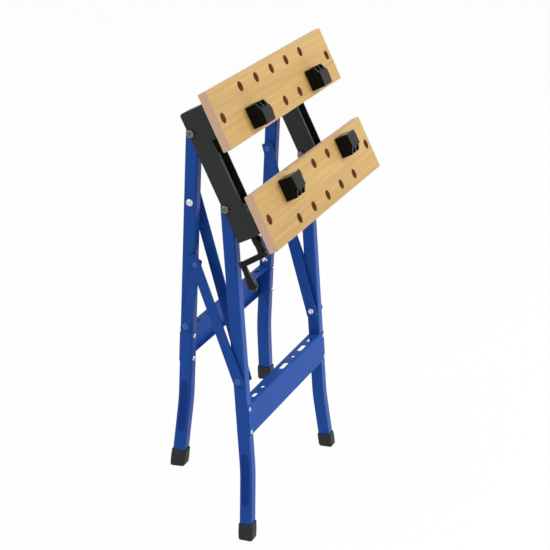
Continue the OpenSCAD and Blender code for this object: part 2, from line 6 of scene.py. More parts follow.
import bmesh
import bpy
import numpy as np
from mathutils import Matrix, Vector


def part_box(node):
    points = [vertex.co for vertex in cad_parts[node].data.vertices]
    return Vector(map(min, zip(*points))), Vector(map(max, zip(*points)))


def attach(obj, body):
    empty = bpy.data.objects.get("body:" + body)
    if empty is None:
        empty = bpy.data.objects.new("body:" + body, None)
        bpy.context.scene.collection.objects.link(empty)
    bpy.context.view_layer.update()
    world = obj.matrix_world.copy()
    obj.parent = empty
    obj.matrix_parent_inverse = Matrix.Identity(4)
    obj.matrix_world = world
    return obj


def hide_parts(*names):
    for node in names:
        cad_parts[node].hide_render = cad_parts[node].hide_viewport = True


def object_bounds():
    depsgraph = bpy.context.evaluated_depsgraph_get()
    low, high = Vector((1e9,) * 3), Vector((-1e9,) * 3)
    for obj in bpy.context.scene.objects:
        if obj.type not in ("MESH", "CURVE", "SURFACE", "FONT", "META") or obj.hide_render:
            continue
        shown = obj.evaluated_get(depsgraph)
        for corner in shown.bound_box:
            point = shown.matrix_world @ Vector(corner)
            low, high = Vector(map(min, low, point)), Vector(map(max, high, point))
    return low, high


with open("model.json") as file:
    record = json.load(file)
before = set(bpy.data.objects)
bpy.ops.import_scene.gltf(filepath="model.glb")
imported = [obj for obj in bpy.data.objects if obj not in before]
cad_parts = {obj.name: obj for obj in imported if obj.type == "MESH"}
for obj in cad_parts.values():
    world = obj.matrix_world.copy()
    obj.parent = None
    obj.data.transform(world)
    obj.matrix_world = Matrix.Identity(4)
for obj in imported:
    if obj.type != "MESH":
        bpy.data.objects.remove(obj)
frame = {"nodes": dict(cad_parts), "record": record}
cad_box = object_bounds()

# ---------------------------------------------------------------- places taken from the frame

MM = 0.001
X = np.array([1.0, 0.0, 0.0])
joints = {joint["name"]: joint for joint in frame["record"]["behaviour"]["joints"]}


def pivot(name):
    """Place of a hinge at rest."""
    return np.array(joints[name]["pos_m"], float)


def along(name):
    """Unit direction of a joint's axis at rest."""
    axis = np.array(joints[name]["axis"], float)
    return axis / np.linalg.norm(axis)


def corners(node):
    """Lowest and highest corner of a solid, as arrays."""
    low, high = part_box(node)
    return np.array(low, float), np.array(high, float)


def middle(node):
    """Centre of a solid's box."""
    low, high = corners(node)
    return (low + high) / 2


def side_view(vector):
    """Unit direction of a vector in the plane square to X."""
    flat = np.array([0.0, vector[1], vector[2]])
    return flat / np.linalg.norm(flat)


UP_BEAM = along("jaw_slide")
JAW_NORMAL = along("rear_left_dog_turn")
FRONT_PIVOT = pivot("fold")
REAR_PIVOT = pivot("rear_legs_swing")
FRONT_DOWN = side_view(pivot("left_strut_swing") - FRONT_PIVOT)
REAR_DOWN = side_view(pivot("left_rear_link_swing") - REAR_PIVOT)
BEAM_FRONT = FRONT_PIVOT @ UP_BEAM - 68 * MM
END_GAP = 2 * MM
HANDS = (("left", -1), ("right", 1))

# ---------------------------------------------------------------- surfaces

SHARP_EDGE = math.radians(22)
ROUNDING_SEGMENTS = 3
FLAT_FACE_WEIGHT = 90
MERGE_DISTANCE = 2e-6
FLAT_ANGLE = 0.01


def finish_piece(mesh, name, body, material, replaces=(), bevel=0.0):
    """Makes an object of a mesh, joins it to its body and gives it its finish. With a bevel its sharp edges
    are rounded, and its large faces keep their own direction in the shading."""
    piece = bpy.data.objects.new(name, mesh)
    bpy.context.scene.collection.objects.link(piece)
    mesh.materials.append(material)
    mesh.polygons.foreach_set("use_smooth", np.full(len(mesh.polygons), True))
    if bevel:
        rounding = piece.modifiers.new("rounding", "BEVEL")
        rounding.width = bevel
        rounding.segments = ROUNDING_SEGMENTS
        rounding.limit_method = "ANGLE"
        rounding.angle_limit = SHARP_EDGE
        shading = piece.modifiers.new("shading", "WEIGHTED_NORMAL")
        shading.mode = "FACE_AREA"
        shading.weight = FLAT_FACE_WEIGHT
    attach(piece, body)
    if replaces:
        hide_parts(*replaces)
    return piece


BODIES = frame["record"]["behaviour"]["bodies"]
BODY_OF = {node: body for body, nodes in BODIES.items() for node in nodes}


def eased(node, material, width):
    """Copy of a solid: corners merged, flat faces joined, and every sharp edge rounded by width."""
    form = bmesh.new()
    form.from_mesh(frame["nodes"][node].data)
    bmesh.ops.remove_doubles(form, verts=form.verts, dist=MERGE_DISTANCE)
    bmesh.ops.dissolve_limit(form, angle_limit=FLAT_ANGLE, verts=form.verts, edges=form.edges)
    mesh = bpy.data.meshes.new(node + "_eased")
    form.to_mesh(mesh)
    form.free()
    finish_piece(mesh, mesh.name, BODY_OF[node], material, [node], width)


def grid_faces(rows, cols, start=0):
    """Quads of a grid whose columns close on themselves, then its two end caps."""
    row, col = np.meshgrid(np.arange(rows - 1), np.arange(cols), indexing="ij")
    here = start + row * cols + col
    beside = start + row * cols + (col + 1) % cols
    quads = np.stack([here, beside, beside + cols, here + cols], -1).reshape(-1, 4).tolist()
    first = [start + i for i in range(cols)][::-1]
    last = [start + (rows - 1) * cols + i for i in range(cols)]
    return quads + [first, last]


def mesh_of(name, grids):
    """Mesh of one or more closed tubes, each an array rows x columns x 3, with faces turned outwards."""
    points, faces, start = [], [], 0
    for grid in grids:
        rows, cols, _ = grid.shape
        part = grid_faces(rows, cols, start)
        if inside_out(grid):
            part = [face[::-1] for face in part]
        points.append(grid.reshape(-1, 3))
        faces += part
        start += rows * cols
    mesh = bpy.data.meshes.new(name)
    mesh.from_pydata(np.concatenate(points).tolist(), [], faces)
    mesh.update()
    return mesh


def inside_out(grid):
    """True where a closed tube's faces point inwards: its volume, summed about its middle, is negative."""
    centre = grid.reshape(-1, 3).mean(0)
    ring = np.concatenate([grid, grid[:, :1]], 1) - centre
    a, b, c, d = ring[:-1, :-1], ring[:-1, 1:], ring[1:, 1:], ring[1:, :-1]
    volume = (np.cross(a, b) * c).sum() + (np.cross(a, c) * d).sum()
    caps = 0.0
    for end, way in ((ring[0], -1), (ring[-1], 1)):
        hub = end.mean(0)
        caps += way * (np.cross(end[:-1], end[1:]) * hub).sum()
    return volume + caps < 0


def rounded_box(half_a, half_b, radius, flat=7, arc=5):
    """Outline of a rectangle with round corners, as points (a, b): four straight runs of flat points between
    quarter circles of arc points."""
    quarter = np.linspace(0, math.pi / 2, arc)
    runs = []
    corner_signs = ((1, 1), (-1, 1), (-1, -1), (1, -1))
    for turn, (sa, sb) in enumerate(corner_signs):
        angle = quarter + turn * math.pi / 2
        centre = np.array([sa * (half_a - radius), sb * (half_b - radius)])
        runs.append(centre + radius * np.stack([np.cos(angle), np.sin(angle)], -1))
    outline = []
    for turn in range(4):
        outline.append(runs[turn])
        step = np.linspace(0, 1, flat + 2)[1:-1, None]
        outline.append(runs[turn][-1] * (1 - step) + runs[(turn + 1) % 4][0] * step)
    return np.concatenate(outline)


def smooth_step(low, high, value):
    """0 below low, 1 above high, and a smooth cubic between."""
    t = np.clip((value - low) / (high - low), 0, 1)
    return t * t * (3 - 2 * t)


def turned(profile, base, axis, segments=40, dent=None):
    """Surface of revolution of points (radius, height along the axis from base); dent(a, b) sinks it along
    the axis."""
    profile = np.array(profile, float)
    axis = axis / np.linalg.norm(axis)
    across = np.cross(axis, X if abs(axis[0]) < 0.9 else np.array([0.0, 0.0, 1.0]))
    across /= np.linalg.norm(across)
    other = np.cross(axis, across)
    angle = np.arange(segments) / segments * 2 * math.pi
    a = profile[:, :1] * np.cos(angle)
    b = profile[:, :1] * np.sin(angle)
    height = np.repeat(profile[:, 1:], segments, 1)
    if dent is not None:
        height = height - dent(a, b)
    return base + a[..., None] * across + b[..., None] * other + height[..., None] * axis


def arc(centre, radius, start, end, count):
    """Points (radius, height) on a circle's arc between two angles in degrees."""
    angle = np.radians(np.linspace(start, end, count))
    return np.stack([centre[0] + radius * np.cos(angle), centre[1] + radius * np.sin(angle)], -1)


# ---------------------------------------------------------------- shader groups


def put(tree, kind, inputs=(), **settings):
    """Adds a node, sets its own settings, and links or sets its inputs."""
    made = tree.nodes.new(kind)
    for key, value in settings.items():
        setattr(made, key, value)
    for key, value in dict(inputs).items():
        socket = made.inputs[key]
        if isinstance(value, bpy.types.NodeSocket):
            tree.links.new(value, socket)
        else:
            socket.default_value = value
    return made


def math_node(tree, operation, a, b=0.0, c=0.0, clamp=False):
    """One Math node's result."""
    return put(tree, "ShaderNodeMath", {0: a, 1: b, 2: c}, operation=operation, use_clamp=clamp).outputs[0]


def mix_colour(tree, factor, a, b, blend="MIX"):
    """One Mix node's colour."""
    made = put(tree, "ShaderNodeMix", {0: factor, 6: a, 7: b}, data_type="RGBA", blend_type=blend)
    return made.outputs[2]


def group(name, inputs, outputs):
    """Empty node group with named inputs (name, kind, default) and outputs (name, kind)."""
    tree = bpy.data.node_groups.new(name, "ShaderNodeTree")
    for label, kind, default in inputs:
        socket = tree.interface.new_socket(label, in_out="INPUT", socket_type="NodeSocket" + kind)
        socket.default_value = default
    for label, kind in outputs:
        tree.interface.new_socket(label, in_out="OUTPUT", socket_type="NodeSocket" + kind)
    return tree, tree.nodes.new("NodeGroupInput").outputs, tree.nodes.new("NodeGroupOutput").inputs


def noise(tree, vector, scale, detail=3.0, roughness=0.5, distortion=0.0):
    """One Noise texture's value."""
    made = put(tree, "ShaderNodeTexNoise", {"Vector": vector, "Scale": scale, "Detail": detail,
                                            "Roughness": roughness, "Distortion": distortion})
    return made.outputs["Fac"]


def make_skin_group():
    """Sprayed or moulded skin: slow tone changes, a fine orange-peel height and uneven gloss."""
    tree, given, result = group(
        "sprayed_skin",
        [("Colour", "Color", (0.5, 0.5, 0.5, 1)), ("Tone", "Float", 0.1), ("Grain", "Float", 400.0),
         ("Roughness", "Float", 0.3), ("Scuff", "Float", 0.1)],
        [("Colour", "Color"), ("Roughness", "Float"), ("Height", "Float")])
    place = put(tree, "ShaderNodeTexCoord").outputs["Object"]
    slow = noise(tree, place, 9.0, 2.0)
    tone = math_node(tree, "MULTIPLY_ADD", math_node(tree, "SUBTRACT", slow, 0.5), given["Tone"], 1.0)
    shade = put(tree, "ShaderNodeVectorMath", {0: given["Colour"], "Scale": tone}, operation="SCALE")
    tree.links.new(shade.outputs[0], result["Colour"])
    smear = noise(tree, place, 38.0, 4.0, 0.6)
    rough = math_node(tree, "MULTIPLY_ADD", math_node(tree, "SUBTRACT", smear, 0.5), given["Scuff"],
                      given["Roughness"])
    tree.links.new(math_node(tree, "MAXIMUM", rough, 0.04), result["Roughness"])
    tree.links.new(noise(tree, place, given["Grain"], 2.0), result["Height"])
    return tree


def make_board_group():
    """Places on a jaw: along its length, across it and through it, in metres from the frame's origin, and
    how far the surface there faces along each of them."""
    tree, given, result = group(
        "board_places", [("Across", "Vector", tuple(UP_BEAM)), ("Through", "Vector", tuple(JAW_NORMAL))],
        [("Place", "Vector"), ("Facing", "Vector")])
    coordinates = put(tree, "ShaderNodeTexCoord").outputs
    for source, label in (("Object", "Place"), ("Normal", "Facing")):
        length = put(tree, "ShaderNodeSeparateXYZ", {0: coordinates[source]}).outputs[0]
        dots = [put(tree, "ShaderNodeVectorMath", {0: coordinates[source], 1: given[name]},
                    operation="DOT_PRODUCT").outputs["Value"] for name in ("Across", "Through")]
        packed = put(tree, "ShaderNodeCombineXYZ", {0: length, 1: dots[0], 2: dots[1]})
        tree.links.new(packed.outputs[0], result[label])
    return tree


def make_grain_group():
    """Sawn and sanded softwood: slow tone bands, growth lines that wander along the board, fine fibres, and
    a pinker end grain."""
    tree, given, result = group(
        "wood_grain",
        [("Place", "Vector", (0, 0, 0)), ("Facing", "Vector", (0, 0, 1)), ("Pale", "Color", (1, 1, 1, 1)),
         ("Deep", "Color", (1, 1, 1, 1)), ("End", "Color", (1, 1, 1, 1)), ("Seed", "Float", 0.0)],
        [("Colour", "Color"), ("Roughness", "Float"), ("Height", "Float")])
    seed_across = math_node(tree, "MULTIPLY", given["Seed"], 0.37)
    shift = put(tree, "ShaderNodeCombineXYZ", {0: given["Seed"], 1: seed_across}).outputs[0]
    place = put(tree, "ShaderNodeVectorMath", {0: given["Place"], 1: shift}, operation="ADD").outputs[0]

    def stretched(factors):
        """The place, with each direction's scale of the pattern."""
        return put(tree, "ShaderNodeVectorMath", {0: place, 1: factors}, operation="MULTIPLY").outputs[0]

    bands = noise(tree, stretched((1.3, 16.0, 16.0)), 1.0, 2.0, 0.5, 0.3)
    wander = noise(tree, stretched((1.6, 5.0, 5.0)), 1.0, 2.0)
    across = put(tree, "ShaderNodeSeparateXYZ", {0: place}).outputs[1]
    phase = math_node(tree, "MULTIPLY_ADD", wander, 7.0, math_node(tree, "MULTIPLY", across, 150.0))
    rings = math_node(tree, "PINGPONG", phase, 1.0)
    late = math_node(tree, "POWER", rings, 2.0)
    streaks = noise(tree, stretched((5.0, 260.0, 260.0)), 1.0, 3.0, 0.6)
    fibres = noise(tree, stretched((26.0, 900.0, 900.0)), 1.0, 3.0, 0.7)
    tone = math_node(tree, "MULTIPLY_ADD", late, 0.22, math_node(tree, "MULTIPLY_ADD", bands, 1.2, -0.30))
    tone = math_node(tree, "MULTIPLY_ADD", math_node(tree, "SUBTRACT", streaks, 0.5), 1.5, tone)
    tone = math_node(tree, "MULTIPLY_ADD", math_node(tree, "SUBTRACT", fibres, 0.5), 0.42, tone, True)
    face = mix_colour(tree, tone, given["Pale"], given["Deep"])
    end_spots = noise(tree, stretched((40.0, 420.0, 420.0)), 1.0, 3.0, 0.7)
    end_tone = math_node(tree, "MULTIPLY_ADD", math_node(tree, "SUBTRACT", end_spots, 0.5), 0.35, 1.0)
    end_shade = put(tree, "ShaderNodeVectorMath", {0: given["End"], "Scale": end_tone}, operation="SCALE")
    facing = put(tree, "ShaderNodeSeparateXYZ", {0: given["Facing"]}).outputs
    end_facing = math_node(tree, "MULTIPLY", math_node(tree, "ABSOLUTE", facing[0]), 1.3)
    at_end = math_node(tree, "SMOOTH_MIN", 1.0, end_facing)
    at_edge = math_node(tree, "MULTIPLY", math_node(tree, "ABSOLUTE", facing[1]), 0.55)
    pink = math_node(tree, "MAXIMUM", at_end, at_edge, 0.0, True)
    tree.links.new(mix_colour(tree, pink, face, end_shade.outputs[0]), result["Colour"])
    tree.links.new(math_node(tree, "MULTIPLY_ADD", fibres, 0.16, 0.40), result["Roughness"])
    tree.links.new(math_node(tree, "MULTIPLY_ADD", late, 0.5, fibres), result["Height"])
    return tree


SKIN = make_skin_group()
BOARD_PLACES = make_board_group()
GRAIN = make_grain_group()

# ---------------------------------------------------------------- materials


def new_material(name):
    """Empty material: its node tree and its Principled shader, linked to the output."""
    material = bpy.data.materials.new(name)
    material.use_nodes = True
    tree = material.node_tree
    tree.nodes.clear()
    shader = tree.nodes.new("ShaderNodeBsdfPrincipled")
    output = tree.nodes.new("ShaderNodeOutputMaterial")
    tree.links.new(shader.outputs[0], output.inputs[0])
    return material, tree, shader


def skin(name, colour, roughness, tone, scuff, grain, height, metallic=0.0, shine=0.5, recess=None):
    """Painted, moulded or plated finish over the skin group; shine is the strength of its clear reflections,
    and recess is a darker colour mixed in as painted shade where the piece's sunk attribute is 1."""
    material, tree, shader = new_material(name)
    made = put(tree, "ShaderNodeGroup", {"Colour": (*colour, 1), "Tone": tone, "Grain": grain,
                                         "Roughness": roughness, "Scuff": scuff}, node_tree=SKIN)
    bump = put(tree, "ShaderNodeBump", {"Height": made.outputs["Height"], "Strength": height,
                                        "Distance": SKIN_RELIEF})
    base_colour = made.outputs["Colour"]
    # painted shade: the recess colour darkens the base colour where the surface is sunk, standing in for
    # shade in the hollow
    if recess:
        sunk = put(tree, "ShaderNodeAttribute", attribute_name="sunk").outputs["Fac"]
        base_colour = mix_colour(tree, sunk, base_colour, (*recess, 1))
    tree.links.new(base_colour, shader.inputs["Base Color"])
    tree.links.new(made.outputs["Roughness"], shader.inputs["Roughness"])
    tree.links.new(bump.outputs[0], shader.inputs["Normal"])
    shader.inputs["Metallic"].default_value = metallic
    shader.inputs["Specular IOR Level"].default_value = shine
    return material


def wood(name, board, seed):
    """Jaw wood: grain along the jaw, and a darker brown painted on the walls inside the dog holes as painted
    shade.
    """
    material, tree, shader = new_material(name)
    places = put(tree, "ShaderNodeGroup", node_tree=BOARD_PLACES)
    grain = put(tree, "ShaderNodeGroup", {
        "Place": places.outputs["Place"], "Facing": places.outputs["Facing"], "Pale": (*WOOD_PALE, 1),
        "Deep": (*WOOD_DEEP, 1), "End": (*WOOD_END, 1), "Seed": seed}, node_tree=GRAIN)
    low, high = corners(board)
    centre = (low + high) / 2
    half_length = (high[0] - low[0]) / 2
    place = put(tree, "ShaderNodeSeparateXYZ", {0: places.outputs["Place"]}).outputs
    facing = put(tree, "ShaderNodeSeparateXYZ", {0: places.outputs["Facing"]}).outputs
    across = math_node(tree, "SUBTRACT", place[1], float(centre @ UP_BEAM))
    from_edge = math_node(tree, "SUBTRACT", JAW_WIDTH / 2, math_node(tree, "ABSOLUTE", across))
    from_end = math_node(tree, "SUBTRACT", half_length, math_node(tree, "ABSOLUTE", place[0]))
    # painted shade: sideways faces away from the board's rims, the dog holes' walls, take the dark hole
    # colour
    inside = math_node(tree, "GREATER_THAN", math_node(tree, "MINIMUM", from_edge, from_end), RIM_WIDTH)
    sideways = math_node(tree, "LESS_THAN", math_node(tree, "ABSOLUTE", facing[2]), 0.4)
    in_hole = math_node(tree, "MULTIPLY", inside, sideways)
    colour = mix_colour(tree, in_hole, grain.outputs["Colour"], (*HOLE_SHADE, 1))
    bump = put(tree, "ShaderNodeBump", {"Height": grain.outputs["Height"], "Strength": 0.10,
                                        "Distance": WOOD_RELIEF})
    tree.links.new(colour, shader.inputs["Base Color"])
    tree.links.new(grain.outputs["Roughness"], shader.inputs["Roughness"])
    tree.links.new(bump.outputs[0], shader.inputs["Normal"])
    shader.inputs["Specular IOR Level"].default_value = 0.35
    return material


SKIN_RELIEF = 0.6 * MM
WOOD_RELIEF = 0.5 * MM
JAW_WIDTH = 112 * MM
RIM_WIDTH = 2.5 * MM
WOOD_PALE = (0.56, 0.355, 0.118)
WOOD_DEEP = (0.43, 0.245, 0.062)
WOOD_END = (0.66, 0.43, 0.29)
# painted shade: dark brown for the dog holes' walls, standing in for the shade inside them
HOLE_SHADE = (0.30, 0.125, 0.045)

BLUE = (0.014, 0.070, 0.32)
# painted shade: darker blue painted into the legs' pressed groove, where shade falls
BLUE_GROOVE_SHADE = (0.010, 0.043, 0.24)
blue_paint = skin("blue_paint", BLUE, 0.22, 0.25, 0.10, 260.0, 0.10, shine=0.07)
panel_paint = skin("panel_paint", BLUE, 0.34, 0.25, 0.10, 260.0, 0.10, shine=0.03)
leg_paint = skin("leg_paint", BLUE, 0.22, 0.25, 0.10, 260.0, 0.10, shine=0.07, recess=BLUE_GROOVE_SHADE)
black_paint = skin("black_paint", (0.012, 0.013, 0.014), 0.40, 0.30, 0.14, 900.0, 0.10, shine=0.3)
dog_plastic = skin("dog_plastic", (0.004, 0.004, 0.005), 0.30, 0.25, 0.10, 1500.0, 0.04, shine=0.10)
black_plastic = skin("black_plastic", (0.005, 0.005, 0.006), 0.22, 0.25, 0.10, 1500.0, 0.04, shine=0.18)
rubber = skin("rubber", (0.012, 0.012, 0.013), 0.55, 0.35, 0.14, 1100.0, 0.30, shine=0.3)
zinc = skin("zinc", (0.66, 0.67, 0.69), 0.22, 0.25, 0.16, 700.0, 0.06, metallic=1.0)
painted_rivet = skin("painted_rivet", (0.012, 0.085, 0.36), 0.14, 0.25, 0.10, 500.0, 0.10, shine=0.5)
bolt_steel = skin("bolt_steel", (0.16, 0.165, 0.18), 0.22, 0.40, 0.20, 600.0, 0.10, metallic=1.0)
dark_steel = skin("dark_steel", (0.050, 0.051, 0.055), 0.40, 0.30, 0.12, 700.0, 0.15, metallic=0.6)

NODE_FINISH = {
    "front_panel": panel_paint, "rear_panel": panel_paint, "strut": blue_paint, "front_link": blue_paint,
    "rear_link": blue_paint, "front_leg": blue_paint, "rear_leg": blue_paint,
    "beam": black_paint, "rear_bracket": black_paint, "front_bracket": black_paint,
    "screw_nut": dark_steel, "front_foot": rubber, "rear_foot": rubber,
    "crank": black_plastic, "crank_grip": black_plastic, "dog": dog_plastic, "crank_pin": dark_steel,
    "bracket_bolts": dark_steel, "pivot_nuts": bolt_steel,
    "front_jaw": wood("front_jaw_wood", "front_jaw", 3.1),
    "rear_jaw": wood("rear_jaw_wood", "rear_jaw", 7.7),
}
FASTENERS = ("rivet", "bolt", "screws", "stud", "collar", "nuts", "spacer", "lead_screw")


def finish_for(node):
    """Finish of a solid: its own, zinc for other fasteners, or that of the longest name it starts with."""
    if node in NODE_FINISH:
        return NODE_FINISH[node]
    if any(word in node for word in FASTENERS):
        return zinc
    return NODE_FINISH[max((name for name in NODE_FINISH if node.startswith(name)), key=len)]


for name, solid in frame["nodes"].items():
    for slot in solid.material_slots:
        slot.material = finish_for(name)

# ---------------------------------------------------------------- edges of sheet, board and block

EDGE_ROUNDING = {"beam_left": 0.5, "beam_right": 0.5, "front_panel": 0.4, "rear_panel": 0.4,
                 "front_jaw": 0.5, "rear_jaw": 0.5}
PAIR_ROUNDING = {"front_bracket": 0.7, "rear_bracket": 0.7, "screw_nut": 0.6, "strut": 0.6,
                 "front_link": 0.6, "rear_link": 0.6, "dog_front": 0.9, "dog_rear": 0.9}
for hand, _ in HANDS:
    EDGE_ROUNDING.update({f"{name}_{hand}": width for name, width in PAIR_ROUNDING.items()})
for node, width in EDGE_ROUNDING.items():
    eased(node, finish_for(node), width * MM)

# ---------------------------------------------------------------- lead screws

LEAD = 4 * MM
SCREW_RADIUS = 5 * MM
SCREW_LENGTH = 170 * MM
SCREW_EDGE = 0.8 * MM
THREAD_DEPTH = 0.9 * MM
ROWS_PER_TURN = 10
DRIVE_HALF = 3.5 * MM
DRIVE_EDGE = 0.5 * MM
HUB_LENGTH = 42 * MM
HUB_NOSE = 14 * MM
DRIVE_LENGTH = HUB_LENGTH - HUB_NOSE - 1 * MM
COLLAR_END = 10 * MM


def thread_surface(base, axis, length, plain):
    """Threaded rod: its radius follows a ridge that climbs one lead in a turn, after a plain length."""
    height = np.linspace(0, length, int(length / LEAD * ROWS_PER_TURN))[:, None]
    angle = np.arange(24)[None] / 24 * 2 * math.pi
    phase = np.mod(height / LEAD - angle / (2 * math.pi), 1.0)
    ridge = np.clip(1.6 - 3.2 * np.abs(phase - 0.5), 0, 1)
    cut = smooth_step(plain, plain + 0.5 * LEAD, height) * smooth_step(length, length - 0.5 * LEAD, height)
    radius = SCREW_RADIUS - THREAD_DEPTH * (1 - ridge) * cut
    end_ease = np.minimum(np.minimum(height, length - height) / SCREW_EDGE, 1)
    radius = radius - SCREW_EDGE * (1 - end_ease)
    a, b = radius * np.cos(angle), radius * np.sin(angle)
    return base + a[..., None] * X + b[..., None] * np.cross(axis, X) + height[..., None] * axis


def square_bar(base, axis, length, half):
    """Squared drive end with eased edges."""
    outline = rounded_box(half, half, DRIVE_EDGE, 1, 4)
    height = np.array([0.0, DRIVE_EDGE, length - 0.2 * MM, length])
    shrink = np.array([0.85, 1.0, 1.0, 1.0])
    ring = shrink[:, None, None] * (outline[:, :1] * X + outline[:, 1:] * np.cross(axis, X))
    return base + ring + height[:, None, None] * axis


def on_axis(line, height):
    """Place on a line along the beams, at a given distance up them."""
    return line + (height - line @ UP_BEAM) * UP_BEAM


for node, turn in (("lead_screw_left", "crank_turn"), ("lead_screw_right", "right_screw_turn")):
    foot = on_axis(pivot(turn), BEAM_FRONT - END_GAP)
    form = [thread_surface(foot, UP_BEAM, SCREW_LENGTH, COLLAR_END),
            square_bar(foot - DRIVE_LENGTH * UP_BEAM, UP_BEAM, DRIVE_LENGTH + 1 * MM, DRIVE_HALF)]
    thread = mesh_of(f"{node}_thread", form)
    finish_piece(thread, thread.name, BODY_OF[node], dark_steel, [node])

# ---------------------------------------------------------------- legs and feet

LEG_X = 209 * MM
LEG_HALF_DEPTH = 12 * MM
LEG_HALF_WIDTH = 12.5 * MM
LEG_LENGTH = 658 * MM
LEG_EDGE = 3.2 * MM
LEG_END_IN_FOOT = 12 * MM
SPLAY_START = 505 * MM
SPLAY_RADIUS = 220 * MM
SPLAY_ANGLE = math.radians(12)
GROOVE_FROM = 488 * MM
GROOVE_TO = 594 * MM
GROOVE_HALF = 8.5 * MM
GROOVE_DEPTH = 3.0 * MM
GROOVE_SLOPE = 3.0 * MM
SOLE_SLOPE = math.tan(math.radians(3.9))
FOOT_HEIGHT = 32 * MM
FOOT_WALL = 2.0 * MM
FOOT_LIP = 1.2 * MM
FOOT_SWELL = 0.5 * MM
SOLE_EDGE = 3.0 * MM


def splay(down):
    """Outward shift of a leg's centre line: none, then a circle's arc, then a straight slope."""
    run = down - SPLAY_START
    bend = SPLAY_RADIUS * math.sin(SPLAY_ANGLE)
    on_arc = SPLAY_RADIUS - np.sqrt(SPLAY_RADIUS**2 - np.clip(run, 0, bend) ** 2)
    return on_arc + np.clip(run - bend, 0, None) * math.tan(SPLAY_ANGLE)


def leg_point(side, top, down_way, out_way, down, a, b):
    """Point of a leg: down it from its pivot bolt, a outwards along X from its centre line, b along
    out_way."""
    sideways = side * (LEG_X + splay(down) + a)
    return (np.array([0.0, top[1], top[2]]) + sideways[..., None] * X
            + down[..., None] * down_way + b[..., None] * out_way)


def leg_surface(side, top, down_way, out_way):
    """Rounded box section carried down the leg, and how far each point is sunk, as a share of the groove's
    depth. The top is a half circle about the bolt, and a groove with round ends is pressed into the outer
    face across the splay."""
    outline = rounded_box(LEG_HALF_DEPTH, LEG_HALF_WIDTH, LEG_EDGE, flat=23, arc=6)
    round_top = -LEG_HALF_WIDTH * np.cos(np.linspace(0.02, math.pi / 2, 9))
    stations = np.concatenate([round_top, np.linspace(30, 440, 8) * MM, np.arange(470, 612, 1.6) * MM,
                               [620 * MM, LEG_LENGTH - LEG_END_IN_FOOT]])
    down = stations[:, None]
    a, b = outline[:, 0][None], outline[:, 1][None]
    width = np.sqrt(np.clip(1 - (np.minimum(down, 0) / LEG_HALF_WIDTH) ** 2, 0, 1))
    b = b * width
    beyond = np.clip(np.maximum(GROOVE_FROM + GROOVE_HALF - down, down - GROOVE_TO + GROOVE_HALF), 0, None)
    reach = np.sqrt(beyond**2 + b**2)
    sunk = GROOVE_DEPTH * (1 - smooth_step(GROOVE_HALF - GROOVE_SLOPE, GROOVE_HALF, reach))
    sunk = sunk * (a > LEG_HALF_DEPTH - 0.1 * MM)
    a = a - sunk
    down = np.broadcast_to(down, a.shape)
    return leg_point(side, top, down_way, out_way, down, a, b), sunk / GROOVE_DEPTH


def foot_surface(side, top, down_way, out_way):
    """Rubber cap: a lip rolled over the leg, a wall that swells a little, and a sloping sole with round
    edges."""
    lip = np.stack([np.linspace(0.2 * MM, FOOT_WALL, 6),
                    FOOT_LIP * (1 - np.sin(np.linspace(math.pi / 2, 0.15, 6)))], -1)
    wall_down = np.linspace(2.5 * MM, FOOT_HEIGHT - 4.0 * MM, 6)
    wall = np.stack([FOOT_WALL + FOOT_SWELL * np.sin(math.pi * wall_down / FOOT_HEIGHT), wall_down], -1)
    turn = np.linspace(0, math.pi / 2, 6)
    edge = np.stack([FOOT_WALL - SOLE_EDGE * (1 - np.cos(turn)),
                     FOOT_HEIGHT - SOLE_EDGE * (1 - np.sin(turn))], -1)
    inside_start = [[-1.0 * MM, 3.0 * MM]]
    rows = []
    for grow, below in np.concatenate([inside_start, lip, wall, edge]):
        corner = LEG_EDGE + max(grow, 0) * 0.8
        outline = rounded_box(LEG_HALF_DEPTH + grow, LEG_HALF_WIDTH + grow, corner, 5, 6)
        a, b = outline[:, 0], outline[:, 1]
        share = np.clip(below / FOOT_HEIGHT, 0, 1)
        down = LEG_LENGTH - FOOT_HEIGHT + below + share * b * SOLE_SLOPE
        rows.append(leg_point(side, top, down_way, out_way, down, a, b))
    return np.array(rows)


def square_to(down_way, towards):
    """Direction square to a leg in the side view, on the side of the sign given along Y."""
    out = np.cross(X, down_way)
    return out * (1 if out[1] * towards > 0 else -1)


for end, body, top, down_way, towards in (("front", "front_frame", FRONT_PIVOT, FRONT_DOWN, -1),
                                          ("rear", "rear_frame", REAR_PIVOT, REAR_DOWN, 1)):
    out_way = square_to(down_way, towards)
    for hand, side in HANDS:
        form, sunk = leg_surface(side, top, down_way, out_way)
        leg = mesh_of(f"{end}_leg_{hand}_pressing", [form])
        # the sunk share also places leg_paint's painted shade in the groove
        leg.attributes.new("sunk", "FLOAT", "POINT").data.foreach_set("value", sunk.ravel())
        finish_piece(leg, leg.name, body, leg_paint, [f"{end}_leg_{hand}"])
        foot = mesh_of(f"{end}_foot_{hand}_cap", [foot_surface(side, top, down_way, out_way)])
        finish_piece(foot, foot.name, body, rubber, [f"{end}_foot_{hand}"])

# ---------------------------------------------------------------- bolts and rivets


def cross_recess(size, depth):
    """Sink of a cross-shaped driver recess with sloping walls."""
    arm = 0.24 * size

    def sink(a, b):
        """Depth of the recess at (a, b) from the head's middle."""
        a, b = np.abs(a), np.abs(b)
        near = np.minimum(np.maximum(a / size, b / arm), np.maximum(b / size, a / arm))
        return depth * (1 - smooth_step(0.55, 1.0, near))

    return sink


def pan_head(radius, height, base, axis):
    """Pan-head bolt: a short wall, a round shoulder and a low crown, with a cross recess."""
    shoulder = height * 0.62
    flat = radius - shoulder
    round_part = arc((flat, height - shoulder), shoulder, 12, 78, 7)
    crown_radii = np.linspace(flat * 0.97, flat * 0.02, 22)
    crown = [[r, height - 0.02 * height * (r / flat) ** 2] for r in crown_radii]
    wall = [[radius * 0.98, 0], [radius, 0], [radius, height - shoulder]]
    profile = wall + round_part.tolist() + crown
    return turned(profile, base, axis, 56, cross_recess(radius * 0.62, height * 0.55))


